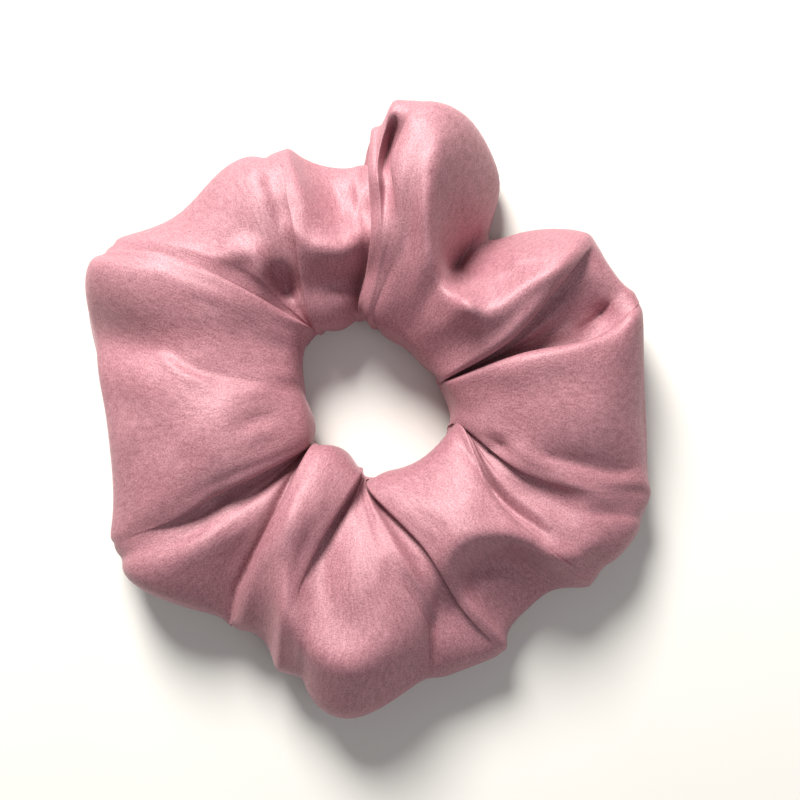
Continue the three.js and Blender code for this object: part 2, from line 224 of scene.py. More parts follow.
LOBES = [
    # The right-hand lobe, over the wedge before it.
    fold(
        line=[-18, -26.5, -25, -21.5], top=[13, 20, 18.8, 12.8],
        under=[11, 17, 17.8, 12.6], tuck=[3, 1.6, 0, 0],
        over=-1, rim=16, reach=(59.6, 58.6),
    ),
    column([-12, -21, -20.5, -17], [14, 20.8, 19.6, 14], 16, 58),
    column([-7, -13, -16.5, -14.5], [14.5, 20.6, 19.6, 13.5], 15.9, 57),
    column([0, -4, -6, -6], [15, 22.5, 22.5, 15], 15.2, 55.6),
    column([9, 8, 6.5, 7], [15.5, 23.6, 24, 17.5], 14.4, 54.6),
    fold(
        line=[17, 17.6, 16.2, 20], top=[15.5, 23.5, 23.5, 19.5],
        under=[11, 16.5, 17.5, 17.5], tuck=[3, 3, 2.5, 0.5],
        over=1, rim=14, reach=57,
    ),
    # The open pocket between two lobes.
    column([18, 20.5, 23, 25], [11, 17, 17.2, 17.5], 14, 55.8),
    fold(
        line=[18.6, 23.5, 31.5, 34.5], top=[16, 24, 25, 19],
        under=[11, 17.5, 19, 18], tuck=[3, 4, 4, 0.5],
        over=-1, rim=13.8, reach=54.9,
    ),
    # The upper right lobe.
    column([24, 29.5, 36.5, 38], [16, 24, 25, 18.5], 13.5, 54.3),
    column([33, 38, 43, 43], [15.5, 24.3, 22.5, 14.5], 13, 52.5),
    column([42, 47, 50, 50], [15, 24, 17.5, 9.5], 12.6, 47.2),
    column([55, 57, 57, 57.5], [15, 21.5, 13.5, 6.5], 12.8, 38.5),
    # The tall lobe, rolled over, with a thin roll of cloth down its left side.
    column([64, 63.5, 60.8, 58.8], [15.5, 22, 14.6, 8], 13.2, 51),
    column([70, 68.5, 65.5, 63.3], [16, 25.2, 19, 12.5], 13.5, 55.6),
    column([78, 75, 74.5, 71.5], [16.5, 25.6, 28.3, 21], 14, 61),
    column([86, 80, 80, 78], [17, 25, 28.3, 24], 14.8, 61.2),
    fold(
        line=[92, 84.5, 86.6, 83.8], top=[16.8, 25, 27.6, 24],
        under=[16.5, 24.6, 22.6, 23.2], tuck=[0, 0, 1.7, 0],
        over=1, rim=16, reach=(60.8, 60),
    ),
    column([96.5, 87, 90.2, 88.6], [16.3, 24.5, 26, 21.5], 16.8, 58.4),
    fold(
        line=[100.3, 92.4, 92.4, 91.6], top=[15.8, 23.8, 24.6, 17.5],
        under=[11, 16.5, 16.5, 10.8], tuck=[4, 4, 4, 1.6],
        over=1, rim=18, reach=(56.5, 49.8),
    ),
    # The narrow lobe that sags between its neighbours.
    column([104, 98, 97, 97], [12, 18.8, 16.8, 10.5], 18.4, 49.3),
    column([111, 104, 103, 103], [13.5, 20.3, 17.5, 11.5], 17.4, 50.5),
    column([120, 111, 108.5, 108], [14, 21.2, 20, 13], 17.6, 53.4),
    fold(
        line=[129, 119.3, 114, 112.5], top=[14.5, 21.2, 21, 14.6],
        under=[10.5, 17.4, 19.2, 14.4], tuck=[4, 4, 1.8, 0],
        over=1, rim=19, reach=(55, 56),
    ),
    # The upper left lobe, under both neighbours.
    column([131, 125, 119.5, 118.5], [10.5, 18.6, 20.5, 15], 19.5, 58),
    column([131.8, 131.5, 127.5, 126.5], [11, 19, 19.5, 13.5], 19.7, 58.2),
    column([132.5, 136.5, 138.5, 137.5], [11, 18.8, 18.8, 11.8], 19.7, 56),
    fold(
        line=[133.5, 140.5, 145.3, 149.5], top=[15, 21.5, 22, 15.5],
        under=[11, 18.6, 18.4, 12.5], tuck=[4, 5, 5, 0.3],
        over=-1, rim=19.7, reach=(62.8, 64.6),
    ),
    # The big left-hand lobe, with one small wrinkle across its middle.
    column([142, 147, 150.5, 153.5], [15.5, 22.5, 23, 18], 19.6, 65.2),
    column([152, 155, 157.5, 158], [15.5, 22, 22, 16.5], 18, 65),
    column([163, 165, 164.5, 165], [15.5, 21.8, 20.8, 14], 16.4, 61.5),
    column([170, 171.5, 168.5, 169], [15, 21.3, 20.3, 13.5], 15.8, 59.4),
    column([174, 176, 174, 175], [15.2, 22, 21.8, 15], 15.5, 57.4),
    column([183, 186, 184, 183], [15.5, 23, 23, 16], 14.6, 55.3),
    column([196, 198, 196, 195], [16, 23.5, 22.5, 15.5], 14.1, 56),
    column([207, 206, 204, 203], [16, 23, 21.5, 14.5], 15, 58.5),
    fold(
        line=[214, 212.5, 211, 209.5], top=[15, 22, 20, 13.8],
        under=[11, 16.5, 18, 13.7], tuck=[3, 4, 1.2, 0],
        over=1, rim=16, reach=(60.6, 61.4),
    ),
    # The lower left lobe, under both neighbours, with a hollow before it.
    column([214.6, 216, 214.5, 214], [10.8, 17, 17.8, 15.5], 16.4, 62),
    column([215, 219.5, 219.5, 219], [11, 18, 19.6, 16.8], 16.4, 60.8),
    column([215.4, 223.5, 226.5, 227], [11, 18, 18, 14.5], 16.2, 57),
    fold(
        line=[216.5, 228, 232.8, 236], top=[15.5, 22, 20, 13.8],
        under=[11, 17.5, 16.8, 12.2], tuck=[3, 4, 3.5, 0.9],
        over=-1, rim=15, reach=(54.6, 53.8),
    ),
    # The bottom lobe, with a rolled band at its left.
    column([226, 234, 238, 240.5], [17, 23.5, 20.5, 13.5], 12.7, 53),
    column([242, 241, 243.5, 245.5], [17, 23, 20.8, 13.3], 12.7, 53.4),
    fold(
        line=[256.5, 249.5, 250, 252], top=[16.5, 21.5, 21.6, 15],
        under=[12, 18, 21.4, 15.4], tuck=[3, 2.4, 0, 0],
        over=1, rim=14.4, reach=(55.5, 60),
    ),
    column([258, 255, 257, 258], [13, 19.8, 22, 15], 15.5, 62.5),
    column([260, 262, 265, 264.5], [13, 22, 23, 16], 16, 65),
    column([261.5, 269, 273.5, 271.5], [13, 22, 22.4, 15], 16, 61.5),
    fold(
        line=[263.2, 275.5, 283.2, 281.6], top=[12.6, 21.6, 20, 13.6],
        under=[12.5, 21.5, 17.8, 12.2], tuck=[0, 0, 1.2, 0.9],
        over=1, rim=16, reach=57.3,
    ),
    fold(
        line=[267, 288, 292, 295], top=[15, 21.8, 19.5, 12.5],
        under=[11, 19, 16.6, 11.5], tuck=[3, 4, 5, 0.3],
        over=-1, rim=16, reach=(57.6, 56.4),
    ),
    # The smooth lower right lobe, and the wedge beyond it.
    column([276, 294, 297, 299], [15.5, 22.8, 19, 11.5], 14.5, 53.4),
    column([290, 303, 305, 307], [16, 23.3, 18.5, 10.5], 15, 52.3),
    column([312, 311, 312, 313.5], [16, 23.2, 19.5, 11.5], 15.6, 52),
    fold(
        line=[341, 321, 319.8, 321.5], top=[15, 22, 20.6, 13.4],
        under=[11.5, 17, 18.4, 13.4], tuck=[3, 4, 3, 0],
        over=1, rim=16.3, reach=(55.8, 58.8),
    ),
    column([341, 326.5, 325.5, 327], [12, 18, 19, 14], 16.3, 58.6),
    column([341.6, 331, 331, 334], [11.5, 17.3, 18.3, 13.5], 16.2, 59.8),
]

# Lines where the cloth swells or sinks: the half width of the line, then its points, each an
# angle, a distance from the hole's axis, and how far the cloth rises or sinks there.
SWELLS = [
    # The ridge round the deep pit between the tall lobe and the upper right one, and its slopes.
    (2.3, [(76, 51, 1), (74, 38, 1.8), (70, 32.5, 1.9), (64, 28, 2), (54, 25, 2), (44, 24.7, 1.9)]),
    (2.3, [(44, 24.7, 1.9), (38, 26, 1.8), (36, 29.5, 1.7), (37, 36, 1.5), (36, 42.5, 1.2),
           (35, 48, 0.4)]),
    (4.0, [(68, 42, -0.5), (64, 37, -2.5), (60, 32.5, -4), (54, 31.5, -3), (47, 34, -1.5)]),
    # The sagging lobe: a raised band across it, a hollow beyond, and a pit beside the hole.
    (2.6, [(116, 37, 1), (114, 33.5, 1.6), (109, 31, 2), (101, 30, 2), (95, 32.5, 1.4)]),
    (2.6, [(117, 25.5, -1.5), (109, 24.8, -3), (103, 24.6, -3.5), (98, 25.5, -2.5)]),
    (4.0, [(106, 47, -1.8), (101, 41, -2.6), (96, 38.5, -1.6)]),
    # The pocket under its left edge, and the swell round the pocket.
    (2.3, [(127.5, 33.5, -0.8), (128, 31.5, -4), (129, 29, -5), (130.5, 26.5, -1.5)]),
    (2.2, [(142, 43.5, 0), (134, 40, 1.2), (130, 36.8, 1.8), (131, 34.5, 1.8), (134.5, 31, 1)]),
    (5.0, [(131, 54.5, 0.3), (123, 53.5, 0.9), (116, 51.5, 1.4), (114, 47.5, 0.8)]),
    # Soft hollows over the big left-hand lobe.
    (5.5, [(166, 57, -2.4), (166, 50, -2.6), (164, 40, -1.6), (157, 30, -1.2), (153, 19, -0.8)]),
    (6.0, [(181, 50, -0.8), (187, 44, -1), (193, 47, -0.8), (198, 52, -0.4)]),
    (5.0, [(176, 24, 0.5), (184, 28, 0.9), (194, 32, 0.6)]),
    # The lower left lobe's lit swell.
    (3.6, [(214, 56, 0.6), (217, 50, 1), (219, 44.5, 1.5), (220, 38.5, 1.1), (219, 31.5, 0.5)]),
    # The band round the bottom lobe.
    (3.6, [(235, 29, 0.8), (240, 36.5, 1), (247, 43.5, 1.4), (255, 49, 1.5), (264, 51, 1.5),
           (271, 48, 0.6)]),
    (4.5, [(251, 33, -0.8), (256, 39, -1.2), (262, 43, -1.2), (268, 41, -0.6)]),
    # The hollow in the lower right lobe, the lit slope under it, and the wedge's lit tip.
    (3.6, [(288, 45, -1), (295, 41, -2.8), (301, 38.8, -4.2), (307, 40, -4.4), (311.5, 43.6, -3.6),
           (314, 48.5, -2)]),
    (2.6, [(288, 35, 0.2), (296, 32.5, 0.8), (304, 32, 1.2), (311, 35, 1.2), (316, 39, 0.8)]),
    (5.5, [(296, 47, -1.6), (301, 46, -2.4), (307, 47.5, -1.8)]),
    (2.6, [(316, 41.5, 0.4), (319, 45.5, 1.3), (322.5, 49.5, 1.4), (327, 51.5, 0.6)]),
    (4.0, [(325, 31, -0.4), (329, 36, -1), (331, 42, -1)]),
    # Slow waves in the right-hand lobe.
    (4.5, [(4, 22, -0.4), (2, 30, -0.9), (4, 40, -0.6)]),
]

# Sharper creases, pressed in the same way.
CREASES = [
    (1.3, [(60.5, 29, 0), (60.5, 31.5, -4), (60, 33.5, -5.5), (59.5, 36.5, -5), (59, 39.5, -2.5)]),
    (1.2, [(89, 42, 0), (88.3, 46, -3), (87.2, 49.5, -5), (86.2, 52.8, -4), (85.6, 54.5, 0)]),
    (2.4, [(19, 41, 0), (20, 45, -3.4), (21.3, 48, -5), (22.6, 50.2, -2)]),
    (1.0, [(214.5, 17, -0.5), (220, 22, -1.5), (226.6, 27.5, -1.9), (230.6, 34.8, -2),
           (232.6, 42.8, -2), (233.7, 47.4, -1.8), (235.8, 52.5, -1.4)]),
    (0.9, [(342, 16.5, -0.6), (331.8, 19.5, -1.2), (326.4, 23.5, -1.6), (322.4, 29.5, -1.7),
           (321.2, 35.5, -1.5), (321.8, 41, -0.8), (322, 44.5, 0)]),
    (1.6, [(336, 24.5, -0.6), (339, 26, -2.4), (343, 27, -0.4)]),
    (2.0, [(345, 31.5, -0.3), (342, 35.5, -1.4), (343, 42.5, -1.9), (344, 50, -1.5),
           (346, 53, -0.6)]),
    (1.2, [(166, 43, 0), (168.3, 40, -0.5), (170.7, 36.5, -0.8), (171.5, 31, -0.7),
           (172, 25.5, -0.6), (175, 16, -0.3)]),
    (1.3, [(167.5, 44.5, 0), (170, 41, 1.1), (173, 37.2, 1.4), (174.6, 33.8, 0.9), (176, 31, 0)]),
    (1.3, [(289, 39, 0), (287, 42, -1), (284, 46, -1.6), (282.5, 50, -1.4), (282, 54, -0.4)]),
    (1.0, [(113, 46, 0.3), (116, 37, 0.9), (121, 28.5, 1), (128, 22, 0.6)]),
    (1.2, [(4, 53, -0.4), (358, 53.5, -1.4), (352, 54.5, -1.4), (346, 56, -0.6)]),
]

SMALL_WRINKLES = 130
WRINKLE_SEED = 7
NEAR_HOLE_SHARE = 0.45  # of the small wrinkles, how many start at the hole's rim


def small_wrinkles():
    """Faint wrinkles that run mostly from the hole outward, where the gathered cloth puckers."""
    random = np.random.RandomState(WRINKLE_SEED)
    lines = []
    for _ in range(SMALL_WRINKLES):
        angle = random.uniform(0, 360)
        near_hole = random.uniform() < NEAR_HOLE_SHARE
        start = random.uniform(16, 21) if near_hole else random.uniform(26, 46)
        length = random.uniform(6, 14)
        drift = random.uniform(-9, 9)
        rise = random.uniform(0.12, 0.34) * random.choice([-1, 1])
        bend = random.uniform(-3, 3)
        points = [(angle, start, 0), (angle + drift / 2 + bend, start + length / 2, rise)]
        points.append((angle + drift, start + length, 0))
        lines.append((random.uniform(0.9, 1.7), points))
    return lines


# The weights of four neighbouring points on a cubic spline, as powers of the way between the middle
# two. The first spline passes near its points and the second one through them.
B_SPLINE = [
    [1 / 6, -0.5, 0.5, -1 / 6],
    [4 / 6, 0, -1, 0.5],
    [1 / 6, 0.5, 0.5, -0.5],
    [0, 0, 0, 1 / 6],
]
CATMULL_ROM = [[0, -0.5, 1, -0.5], [1, 0, -2.5, 1.5], [0, 0.5, 2, -1.5], [0, 0, -0.5, 0.5]]


def line_points(points, steps=10):
    """x, y and rise along a smooth line through points given as angle, distance and rise."""
    turned = []
    for angle, distance, rise in points:
        turn = math.radians(angle)
        turned.append((distance * math.cos(turn), distance * math.sin(turn), rise))
    ends = np.array([turned[0]] + turned + [turned[-1]])
    made = []
    for k in range(len(turned) - 1):
        for t in np.arange(steps) / steps:
            powers = np.array([1, t, t * t, t**3])
            weights = np.array(CATMULL_ROM) @ powers
            made.append(weights @ ends[k : k + 4])
    return np.array(made + [turned[-1]])


PRESS_ABOVE = 2.5  # cloth lower than this lies on the table and isn't pressed
PRESS_FADE = 8  # it is pressed in full from this much higher


def press(grid, lines, shape):
    """Raises or lowers the cloth near each line. What lies on the table stays there."""
    held = np.clip((grid[..., 2] - PRESS_ABOVE) / PRESS_FADE, 0, 1)
    rise = np.zeros(grid.shape[:2])
    for width, points in lines:
        line = line_points(points)
        apart = np.hypot(grid[..., 0, None] - line[:, 0], grid[..., 1, None] - line[:, 1])
        nearest = apart.argmin(-1)
        distance = np.take_along_axis(apart, nearest[..., None], -1)[..., 0]
        rise += line[nearest, 2] * shape(distance / width)
    grid[..., 2] += held * rise


AROUND = 720  # points round the ring
ACROSS = 112  # points round the tube


def periodic_spline(points, count, basis):
    """Points on a closed uniform cubic spline, whose control points lie along axis 0."""
    n = len(points)
    at = np.arange(count) * n / count
    cell = np.floor(at).astype(int)
    t = (at - cell).reshape((-1,) + (1,) * (points.ndim - 1))
    powers = [np.ones_like(t), t, t**2, t**3]
    total = 0
    for row in range(4):
        weight = sum(basis[row][k] * powers[k] for k in range(4))
        total = total + weight * points[(cell + row - 1) % n]
    return total


ROOM = np.array([0.25, 1.1, 1.2, 1.2])  # the least distance between neighbouring columns, in mm
ROOM_PASSES = 30


def flat_columns():
    columns = []
    for item in LOBES:
        columns.extend(item if isinstance(item, list) else [item])
    return columns


def make_room(columns):
    """Moves each column that isn't part of a fold's turn a little way off the ones next to it."""
    count = len(columns)
    for _ in range(ROOM_PASSES):
        for i, c in enumerate(columns):
            if c["fixed"]:
                continue
            before = columns[i - 1]["angles"] - (360 if i == 0 else 0)
            after = columns[(i + 1) % count]["angles"] + (360 if i == count - 1 else 0)
            radii = c["rim"] + (c["reach"] - c["rim"]) * np.array(TOP_SHARES)
            low = before + np.degrees(ROOM / radii)
            high = after - np.degrees(ROOM / radii)
            c["angles"] = np.where(low < high, np.clip(c["angles"], low, high), (low + high) / 2)
    return columns


SECTION_POINTS = 11  # control points round the tube
UNDER_PLEATS = 22  # small pleats round the ring where the cloth lies on the table


def control_net(columns):
    """The control points as angle, radius and height, one row for each column. Underneath, they are
    spread evenly by the cloth's length, so that the folds fade out there."""
    angle = np.array([c["angles"][2] for c in columns])
    radius = np.array([c["rim"] + TOP_SHARES[2] * (c["reach"] - c["rim"]) for c in columns])
    height = np.array([c["heights"][2] for c in columns])
    turn = np.radians(angle)
    xyz = np.stack([radius * np.cos(turn), radius * np.sin(turn), height], 1)
    steps = np.linalg.norm(np.roll(xyz, -1, 0) - xyz, axis=1)
    along = np.concatenate([[0], np.cumsum(steps)[:-1]]) / steps.sum() * 360
    below = along + np.mean(angle - along)
    net = []
    for c, low_angle in zip(columns, below):
        a0, a1, a2, a3 = c["angles"]
        z0, z1, z2, z3 = c["heights"]
        rim, reach = c["rim"], c["reach"]
        width = reach - rim
        pleat = math.cos(math.radians(low_angle * UNDER_PLEATS))
        net.append(
            [
                # Up the side of the hole.
                (0.5 * (a0 + low_angle), rim + 1.3, 3.0),
                (a0, rim - 0.3, 0.55 * z0),
                # Over the top.
                (a0, rim + TOP_SHARES[0] * width, z0),
                (a1, rim + TOP_SHARES[1] * width, z1),
                (a2, rim + TOP_SHARES[2] * width, z2),
                (a3, rim + TOP_SHARES[3] * width, z3),
                # Down the outer side.
                (a3, reach, 0.42 * z3 + 1.2),
                (0.65 * a3 + 0.35 * low_angle, reach - 1.8, 1.9),
                # Back along the table.
                (0.3 * a3 + 0.7 * low_angle, rim + 0.82 * width, 0.5),
                (low_angle, rim + 0.52 * width, 0.9 + 0.4 * pleat),
                (low_angle, rim + 0.24 * width, 1.6 + 1.1 * pleat),
            ]
        )
    return np.array(net)


def cover_surface():
    """The satin's points in mm from the hole's axis, as a grid of AROUND by ACROSS."""
    columns = make_room(flat_columns())
    net = control_net(columns)
    angle = np.radians(net[..., 0])
    points = np.stack([net[..., 1] * np.cos(angle), net[..., 1] * np.sin(angle), net[..., 2]], -1)
    around = periodic_spline(points, AROUND, B_SPLINE)
    grid = periodic_spline(around.transpose(1, 0, 2), ACROSS, CATMULL_ROM).transpose(1, 0, 2)
    press(grid, SWELLS, lambda d: np.exp(-d * d))
    press(grid, CREASES, lambda d: np.exp(-d))
    press(grid, small_wrinkles(), lambda d: np.exp(-d * d))
    return grid


def outward(grid):
    """The unit normal at each point of a closed grid, facing out of the tube."""
    round_ring = np.roll(grid, -1, 0) - np.roll(grid, 1, 0)
    round_tube = np.roll(grid, -1, 1) - np.roll(grid, 1, 1)
    normal = np.cross(round_tube, round_ring)
    return normal / np.maximum(np.linalg.norm(normal, axis=-1, keepdims=True), 1e-9)


def to_metres(points):
    """Points in mm from the hole's axis, as metres in the frame."""
    return np.asarray(points) / 1000 + np.array([HOLE_X, HOLE_Y, 0])


def closed_grid_mesh(name, grid, lengths):
    """A closed tube's mesh, with a map that is laid out in metres of cloth along and across."""
    n, m = grid.shape[:2]
    i, j = np.meshgrid(np.arange(n), np.arange(m), indexing="ij")
    i, j = i.ravel(), j.ravel()
    next_i, next_j = (i + 1) % n, (j + 1) % m
    faces = np.stack([i * m + j, i * m + next_j, next_i * m + next_j, next_i * m + j], 1)
    mesh = bpy.data.meshes.new(name)
    mesh.from_pydata(grid.reshape(-1, 3).tolist(), [], faces.tolist())
    along = np.stack([i, i, i + 1, i + 1], 1) / n * lengths[0]
    across = np.stack([j, j + 1, j + 1, j], 1) / m * lengths[1]
    layer = mesh.uv_layers.new(name="cloth")
    layer.data.foreach_set("uv", np.stack([along, across], -1).ravel())
    return mesh


RELAX_FRAMES = 24
RELAX_GROWTH = 0.035  # how much bigger the cloth wants to be than it lies, so that it buckles
RELAX_HOLD = 0.12  # how firmly each point is held where it lies
RELAX_LIMIT = 0.7  # the furthest that a point may move
RELAX_SKIP = (3, 2)  # the simulation takes every third line along the ring and second one across


def relax(grid):
    """Simulates the satin for a second, held softly in its gathers, so that its slack buckles as
    real cloth's does. What moves is then smoothed a little and spread over the whole grid."""
    coarse = grid[:: RELAX_SKIP[0], :: RELAX_SKIP[1]]
    mesh = closed_grid_mesh("relaxing_satin", to_metres(coarse), (1, 1))
    tube = bpy.data.objects.new("relaxing_satin", mesh)
    bpy.context.collection.objects.link(tube)
    held = tube.vertex_groups.new(name="held")
    held.add(range(len(mesh.vertices)), RELAX_HOLD, "REPLACE")
    cloth_modifier = tube.modifiers.new("cloth", "CLOTH")
    settings = cloth_modifier.settings
    settings.quality = 6
    settings.mass = 0.15
    settings.tension_stiffness = settings.compression_stiffness = 12
    settings.shear_stiffness = 4
    settings.bending_stiffness = 0.02
    settings.shrink_min = -RELAX_GROWTH
    settings.vertex_group_mass = "held"
    settings.pin_stiffness = 1.0
    settings.effector_weights.gravity = 0
    cloth_modifier.collision_settings.use_collision = False
    cloth_modifier.collision_settings.use_self_collision = False
    for number in range(1, RELAX_FRAMES + 1):
        bpy.context.scene.frame_set(number)
    bpy.context.view_layer.update()
    relaxed = tube.evaluated_get(bpy.context.evaluated_depsgraph_get()).data
    places = np.zeros(len(relaxed.vertices) * 3)
    relaxed.vertices.foreach_get("co", places)
    moved = 1000 * (places.reshape(coarse.shape) - to_metres(coarse))
    bpy.data.objects.remove(tube)
    bpy.context.scene.frame_set(1)
    far = np.linalg.norm(moved, axis=-1, keepdims=True)
    moved *= RELAX_LIMIT * np.tanh(far / RELAX_LIMIT) / np.maximum(far, 1e-6)
    for axis in (0, 0, 1):
        moved = (np.roll(moved, 1, axis) + 2 * moved + np.roll(moved, -1, axis)) / 4
    fine = periodic_spline(moved, grid.shape[0], B_SPLINE)
    fine = periodic_spline(fine.transpose(1, 0, 2), grid.shape[1], B_SPLINE).transpose(1, 0, 2)
    return grid + fine


cloth = cover_surface()
cloth = relax(cloth)

# The two seams pull the cloth in a little. The long one runs round the ring, underneath and near
# the hole, and the closing one round the tube.
LONG_SEAM_POINT = round(ACROSS * 10 / SECTION_POINTS)
CLOSING_SEAM_ANGLE = 2.2
long_seam_line = cloth[:, LONG_SEAM_POINT]
seam_angles = np.degrees(np.arctan2(long_seam_line[:, 1], long_seam_line[:, 0]))
CLOSING_SEAM_POINT = int(np.abs(seam_angles - CLOSING_SEAM_ANGLE).argmin())
SEAM_GROOVE = 0.35
CLOSING_GROOVE_SHARE = 0.6  # how deep the closing seam's groove is beside the long one's
LONG_GROOVE_WIDTH = 1.2  # both in points of the grid
CLOSING_GROOVE_WIDTH = 1.3
LOWEST_CLOTH = 0.15  # above the table

across_steps = np.arange(ACROSS) - LONG_SEAM_POINT
around_steps = np.arange(AROUND) - CLOSING_SEAM_POINT
long_groove = np.exp(-((across_steps / LONG_GROOVE_WIDTH) ** 2))[None, :]
closing_groove = np.exp(-((around_steps / CLOSING_GROOVE_WIDTH) ** 2))[:, None]
groove = SEAM_GROOVE * np.maximum(long_groove, CLOSING_GROOVE_SHARE * closing_groove)
cloth -= groove[..., None] * outward(cloth)
cloth[..., 2] = np.maximum(cloth[..., 2], LOWEST_CLOTH)
cloth_out = outward(cloth)

# The cut strip in metres: round the tube, and along the ring before it was gathered.
STRIP_WIDTH = 0.100
STRIP_LENGTH = 0.330
SECTORS = 12
SECTOR_ANGLE = 360 / SECTORS


def angles_of(points):
    """The angle of each point about the hole's axis, in degrees from 0 to 360."""
    return np.degrees(np.arctan2(points[:, 1] - HOLE_Y, points[:, 0] - HOLE_X)) % 360


def stretch_between(piece):
    """Bakes the piece's placing into its mesh."""
    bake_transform(piece)


def nodes_of(kind, sector):
    """The CAD nodes that the piece of one sector stands for."""
    first = [f"{kind}_00"] if sector == 0 else []
    return first + [f"{kind}_{sector + 1:02d}"]


def cut_into_sectors(mesh):
    """Cuts a ring-shaped mesh along planes through the hole's axis and returns one mesh for each
    sector. Each keeps the whole mesh's normals, so that no cut shows."""
    shape = bmesh.new()
    shape.from_mesh(mesh)
    for k in range(SECTORS // 2):
        angle = math.radians(k * SECTOR_ANGLE)
        everything = shape.verts[:] + shape.edges[:] + shape.faces[:]
        across = (-math.sin(angle), math.cos(angle), 0)
        hole = (HOLE_X, HOLE_Y, 0)
        bmesh.ops.bisect_plane(shape, geom=everything, plane_co=hole, plane_no=across)
    shape.normal_update()
    shape.verts.index_update()
    layer = shape.loops.layers.uv["cloth"]
    centres = np.array([f.calc_center_median() for f in shape.faces])
    owner = (angles_of(centres) // SECTOR_ANGLE).astype(int)
    shape.verts.ensure_lookup_table()
    made = []
    for sector in range(SECTORS):
        faces = [f for f, own in zip(shape.faces, owner) if own == sector]
        corners = [[v.index for v in f.verts] for f in faces]
        used = sorted({v for face in corners for v in face})
        place = {v: i for i, v in enumerate(used)}
        points = [shape.verts[v].co[:] for v in used]
        part = bpy.data.meshes.new(f"{mesh.name}_{sector + 1:02d}")
        part.from_pydata(points, [], [[place[v] for v in face] for face in corners])
        flat = part.uv_layers.new(name="cloth")
        flat.data.foreach_set("uv", [c for f in faces for loop in f.loops for c in loop[layer].uv])
        part.shade_smooth()
        part.normals_split_custom_set_from_vertices([shape.verts[v].normal[:] for v in used])
        made.append(part)
    shape.free()
    return made


# The satin's patterns, as repeats in a metre. Its threads are about 0.1 mm wide, which is finer
# than shows from here, so they are drawn as specks of 0.3 mm. The floats are where a thread passes
# over several others: 1.4 mm long across the tube, and drawn in bundles of 0.25 mm. Both make
# the grain. Its lighter and darker colour is partly the threads' own tone and partly painted
# sparkle and sheen streaks.
SPECKS_PER_METRE = 3200.0
FLOATS_PER_METRE = (4000.0, 700.0, 1.0)
FLOATS_SHARE = 0.3  # how much of the grain they make
CLOUDS_PER_METRE = 60.0


def satin_material():
    # Woven polyester satin: bright, smooth threads that mostly lie one way. The eye sees a broad,
    # soft sheen along each fold. The fine sparkle of lighter and darker threads is painted into the
    # colour: partly the threads' own tone, and partly painted glints and sheen streaks.
    material, shader, add, links = new_material("dusty_rose_polyester_satin")
    coordinates = add("TexCoord")
    place = {"Vector": coordinates.outputs["Object"]}
    specks = add("TexNoise", place, scale=SPECKS_PER_METRE, detail=2.0)
    cloudy = add("TexNoise", place, scale=CLOUDS_PER_METRE, detail=3.0)
    strip = add("Mapping", {"Vector": coordinates.outputs["UV"]})
    strip.inputs["Scale"].default_value = FLOATS_PER_METRE
    floats_and_painted_sheen = add("TexNoise", {"Vector": strip.outputs["Vector"]}, scale=1.0, detail=1.0)
    both = {"A": specks.outputs["Fac"], "B": floats_and_painted_sheen.outputs["Fac"]}
    thread_tone_and_painted_sparkle = add("Mix", both, factor=FLOATS_SHARE)
    contrast = add("MapRange", {"Value": thread_tone_and_painted_sparkle.outputs["Result"]})
    contrast.inputs["From Min"].default_value = 0.28
    contrast.inputs["From Max"].default_value = 0.72
    # Painted sparkle and sheen: the specks and floats make the colour lighter and darker, on top of
    # the threads' own tone.
    shade = add("Mix", {"Factor": contrast.outputs["Result"]}, data_type="RGBA")
    shade.inputs["A"].default_value = linear("#84505a")
    shade.inputs["B"].default_value = linear("#c38c96")
    clouded = {"Factor": cloudy.outputs["Fac"], "A": shade.outputs["Result"]}
    tint = add("Mix", clouded, data_type="RGBA")
    tint.blend_type = "MULTIPLY"
    tint.inputs["B"].default_value = linear("#f1e6e8")
    links.new(tint.outputs["Result"], shader.inputs["Base Color"])
    bump = add("Bump", {"Height": contrast.outputs["Result"]}, strength=0.35, distance=0.0001)
    links.new(bump.outputs["Normal"], shader.inputs["Normal"])
    shader.inputs["Roughness"].default_value = 0.61
    shader.inputs["Metallic"].default_value = 0.12
    shader.inputs["Specular IOR Level"].default_value = 0.75
    shader.inputs["Anisotropic"].default_value = 0.35
    shader.inputs["Sheen Weight"].default_value = 0.15
    shader.inputs["Sheen Roughness"].default_value = 0.35
    shader.inputs["Sheen Tint"].default_value = linear("#ffd9de")
    return material


satin = satin_material()
satin_tube = closed_grid_mesh("satin_tube", to_metres(cloth), (STRIP_LENGTH, STRIP_WIDTH))
satin_parts = cut_into_sectors(satin_tube)
for sector, part in enumerate(satin_parts):
    piece = bpy.data.objects.new(part.name, part)
    bpy.context.collection.objects.link(piece)
    part.materials.append(satin)
    stretch_between(piece)
    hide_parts(*nodes_of("cover", sector))

# ---- The braided elastic ----
# A flat band of braided elastic inside the tube, which gathers it. Its two ends lie over each other
# at the closing seam, where a zigzag holds them. It shows only where a fold opens beside the hole.

ELASTIC_RADIUS = 21.5
ELASTIC_WIDTH = 6.0
ELASTIC_THICKNESS = 1.2
ELASTIC_LEVEL = 9.0
ELASTIC_CLEARANCE = 1.1  # between the band's top edge and the satin above it
ELASTIC_LEAST_TOP = ELASTIC_WIDTH + 2.4
NEAR_BAND = 1.8  # the satin is above the band where it is this near it
OVER_BAND = 6.0  # and higher than this
LOOK_ANGLE = 4.0  # to either side of the place asked for
LAP_HALF_ANGLE = 8.0
LAP_SHIFT = 0.8  # how far each end is moved aside where the two lie over each other
LAP_EASE = 6.0  # the angle over which it moves aside
LEVEL_SMOOTHING = 25  # points of the band's line
LEVEL_SLACK = 0.3
BRAID_SPACING = 1.1  # from one rib of the braid to the next, along the band
BRAID_DEPTH = 0.09
BRAID_SLANT = 0.35
BAND_POINTS = 13  # across each face of the band
BAND_EDGE = 0.94  # where its edge starts to turn, as a share of its half width
RINGS_PER_DEGREE = 3


